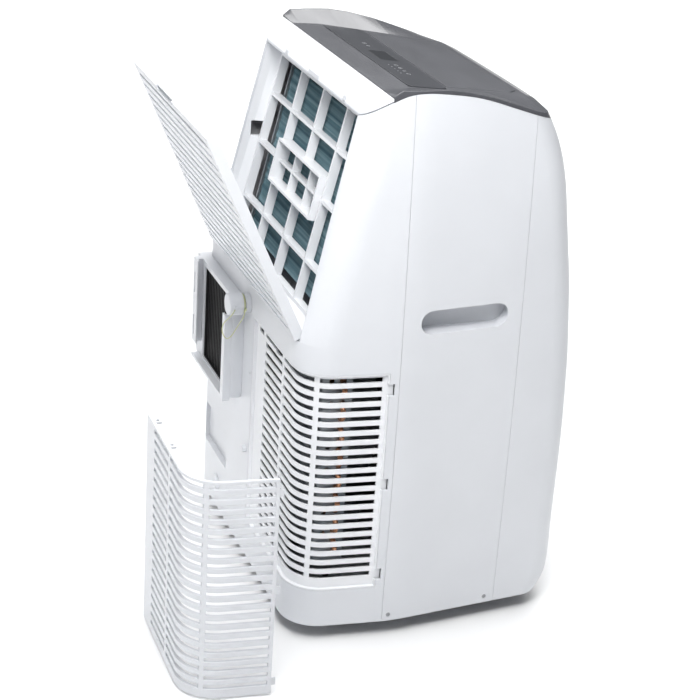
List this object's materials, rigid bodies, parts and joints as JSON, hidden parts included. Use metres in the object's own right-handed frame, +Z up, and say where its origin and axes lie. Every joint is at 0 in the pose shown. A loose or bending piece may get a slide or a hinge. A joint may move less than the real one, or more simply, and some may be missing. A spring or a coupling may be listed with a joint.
{
  "type": "portable room air conditioner",
  "caption": "Free-standing portable room air conditioner on casters, white casing, dark curved top, rear filter door hinged open and lower grille cover taken off.",
  "frame": {"origin": "on the floor, under the middle of the casing's width and on the casing's depth datum", "axes": "+Z up, the air outlet's side faces -Y, the filter door's side faces +Y, X across the width"},
  "size_m": [0.5635, 0.5599, 0.7263],
  "materials": {
    "casing_white": "satin moulded ABS, cool white",
    "inner_white": "satin moulded plastic, slightly greyer than the casing",
    "top_dark": "dark charcoal, glossy",
    "control_gloss": "smooth dark touch surface",
    "display_glass": "dark display lens",
    "louvre_black": "black moulded plastic",
    "tether_rubber": "pale yellow-green flexible rubber",
    "filter_net": "fine nylon filter net in its frame",
    "screw_steel": "zinc plated steel",
    "coil_fins": "hydrophilic coated aluminium fins, blue-green",
    "galvanised": "galvanised steel sheet",
    "copper": "copper tube",
    "compressor_paint": "black painted steel",
    "mount_rubber": "black rubber",
    "duct_plastic": "grey moulded plastic",
    "fan_plastic": "black moulded plastic",
    "motor_steel": "grey painted steel",
    "caster_plastic": "black nylon",
    "wheel_plastic": "dark grey nylon tread"
  },
  "bodies": {
    "body": {"accumulator": "compressor_paint", "base_pan": "duct_plastic", "compressor": "compressor_paint", "compressor_mounts": "mount_rubber", "condenser_bends": "copper", "condenser_coil": "coil_fins", "control_box": "galvanised", "control_plate": "control_gloss", "copper_pipe": "copper", "display_window": "display_glass", "drain_spigot": "casing_white", "drip_tray": "duct_plastic", "evaporator_bends": "copper", "evaporator_coil": "coil_fins", "evaporator_end_plates": "galvanised", "evaporator_guard": "inner_white", "exhaust_adapter": "casing_white", "exhaust_louvres": "louvre_black", "front_shell": "casing_white", "handle_cup_far": "casing_white", "handle_cup_near": "casing_white", "intake_surround": "inner_white", "lower_blower_motor": "motor_steel", "lower_guard_grille": "inner_white", "lower_scroll": "duct_plastic", "outlet_duct": "duct_plastic", "power_gland": "casing_white", "rear_shell": "casing_white", "side_panel_far": "casing_white", "side_panel_near": "casing_white", "side_screws": "screw_steel", "slinger_motor": "motor_steel", "top_cover": "top_dark", "upper_blower_motor": "motor_steel", "upper_scroll": "duct_plastic"},
    "filter_door": {"filter_door": "casing_white", "filter_mesh": "filter_net"},
    "grille_cover": {"grille_cover": "casing_white"},
    "drain_cap": {"drain_cap": "casing_white", "tether_ring": "tether_rubber", "cap_tether": "tether_rubber"},
    "louvre_flap": {"louvre_flap": "top_dark"},
    "vane_link": {"vane_link": "fan_plastic"},
    "upper_blower": {"upper_blower_wheel": "fan_plastic"},
    "lower_blower": {"lower_blower_wheel": "fan_plastic"},
    "slinger": {"slinger_wheel": "fan_plastic"},
    "vane_1": {"vane_1": "fan_plastic"},
    "caster_1": {"caster_fork_1": "caster_plastic"},
    "wheel_1": {"caster_wheel_1": "wheel_plastic"},
    "vane_2": {"vane_2": "fan_plastic"},
    "caster_2": {"caster_fork_2": "caster_plastic"},
    "wheel_2": {"caster_wheel_2": "wheel_plastic"},
    "vane_3": {"vane_3": "fan_plastic"},
    "caster_3": {"caster_fork_3": "caster_plastic"},
    "wheel_3": {"caster_wheel_3": "wheel_plastic"},
    "vane_4": {"vane_4": "fan_plastic"},
    "caster_4": {"caster_fork_4": "caster_plastic"},
    "wheel_4": {"caster_wheel_4": "wheel_plastic"}
  },
  "joints": [
    {"name": "filter_door_hinge", "type": "hinge", "parent": "body", "child": "filter_door", "pos_m": [0, 0.19284, 0.4108], "axis": [1, 0, 0], "range_deg": [0, 37.6]},
    {"name": "grille_cover_lift", "type": "slide", "parent": "body", "child": "grille_cover", "axis": [0.461, -0.8084, 0.3659], "range_m": [0, 0.20497]},
    {"name": "drain_cap_pull", "type": "slide", "parent": "body", "child": "drain_cap", "axis": [0, 1, 0], "range_m": [0, 0.03]},
    {"name": "louvre_flap_hinge", "type": "hinge", "parent": "body", "child": "louvre_flap", "pos_m": [0, 0.002, 0.7074], "axis": [-1, 0, 0], "range_deg": [0, 60]},
    {"name": "vane_1_pivot", "type": "hinge", "parent": "body", "child": "vane_1", "pos_m": [-0.096, -0.046, 0.665], "axis": [0, 0, 1], "range_deg": [-25, 25]},
    {"name": "vane_2_pivot", "type": "hinge", "parent": "body", "child": "vane_2", "pos_m": [-0.032, -0.046, 0.665], "axis": [0, 0, 1], "range_deg": [-25, 25]},
    {"name": "vane_3_pivot", "type": "hinge", "parent": "body", "child": "vane_3", "pos_m": [0.032, -0.046, 0.665], "axis": [0, 0, 1], "range_deg": [-25, 25]},
    {"name": "vane_4_pivot", "type": "hinge", "parent": "body", "child": "vane_4", "pos_m": [0.096, -0.046, 0.665], "axis": [0, 0, 1], "range_deg": [-25, 25]},
    {"name": "vane_link_slide", "type": "slide", "parent": "body", "child": "vane_link", "axis": [-1, 0, 0], "range_m": [-0.0106, 0.0106]},
    {"name": "upper_blower_spin", "type": "hinge", "parent": "body", "child": "upper_blower", "pos_m": [0, 0.02, 0.534], "axis": [0, 1, 0], "continuous": true},
    {"name": "lower_blower_spin", "type": "hinge", "parent": "body", "child": "lower_blower", "pos_m": [0.032, 0.06, 0.214], "axis": [0, 1, 0], "continuous": true},
    {"name": "slinger_spin", "type": "hinge", "parent": "body", "child": "slinger", "pos_m": [-0.06, 0.1, 0.09], "axis": [0, 1, 0], "continuous": true},
    {"name": "caster_1_swivel", "type": "hinge", "parent": "body", "child": "caster_1", "pos_m": [-0.158, -0.118, 0.045], "axis": [0, 0, 1], "continuous": true},
    {"name": "wheel_1_spin", "type": "hinge", "parent": "caster_1", "child": "wheel_1", "pos_m": [-0.158, -0.11, 0.017], "axis": [1, 0, 0], "continuous": true},
    {"name": "caster_2_swivel", "type": "hinge", "parent": "body", "child": "caster_2", "pos_m": [-0.158, 0.128, 0.045], "axis": [0, 0, 1], "continuous": true},
    {"name": "wheel_2_spin", "type": "hinge", "parent": "caster_2", "child": "wheel_2", "pos_m": [-0.158, 0.136, 0.017], "axis": [1, 0, 0], "continuous": true},
    {"name": "caster_3_swivel", "type": "hinge", "parent": "body", "child": "caster_3", "pos_m": [0.158, -0.118, 0.045], "axis": [0, 0, 1], "continuous": true},
    {"name": "wheel_3_spin", "type": "hinge", "parent": "caster_3", "child": "wheel_3", "pos_m": [0.158, -0.11, 0.017], "axis": [1, 0, 0], "continuous": true},
    {"name": "caster_4_swivel", "type": "hinge", "parent": "body", "child": "caster_4", "pos_m": [0.158, 0.128, 0.045], "axis": [0, 0, 1], "continuous": true},
    {"name": "wheel_4_spin", "type": "hinge", "parent": "caster_4", "child": "wheel_4", "pos_m": [0.158, 0.136, 0.017], "axis": [1, 0, 0], "continuous": true}
  ],
  "couplings": [
    {"joint": "vane_2_pivot", "follows": "vane_1_pivot", "ratio": 1},
    {"joint": "vane_3_pivot", "follows": "vane_1_pivot", "ratio": 1},
    {"joint": "vane_4_pivot", "follows": "vane_1_pivot", "ratio": 1},
    {"joint": "vane_link_slide", "follows": "vane_1_pivot", "m_per_rad": 0.024}
  ]
}
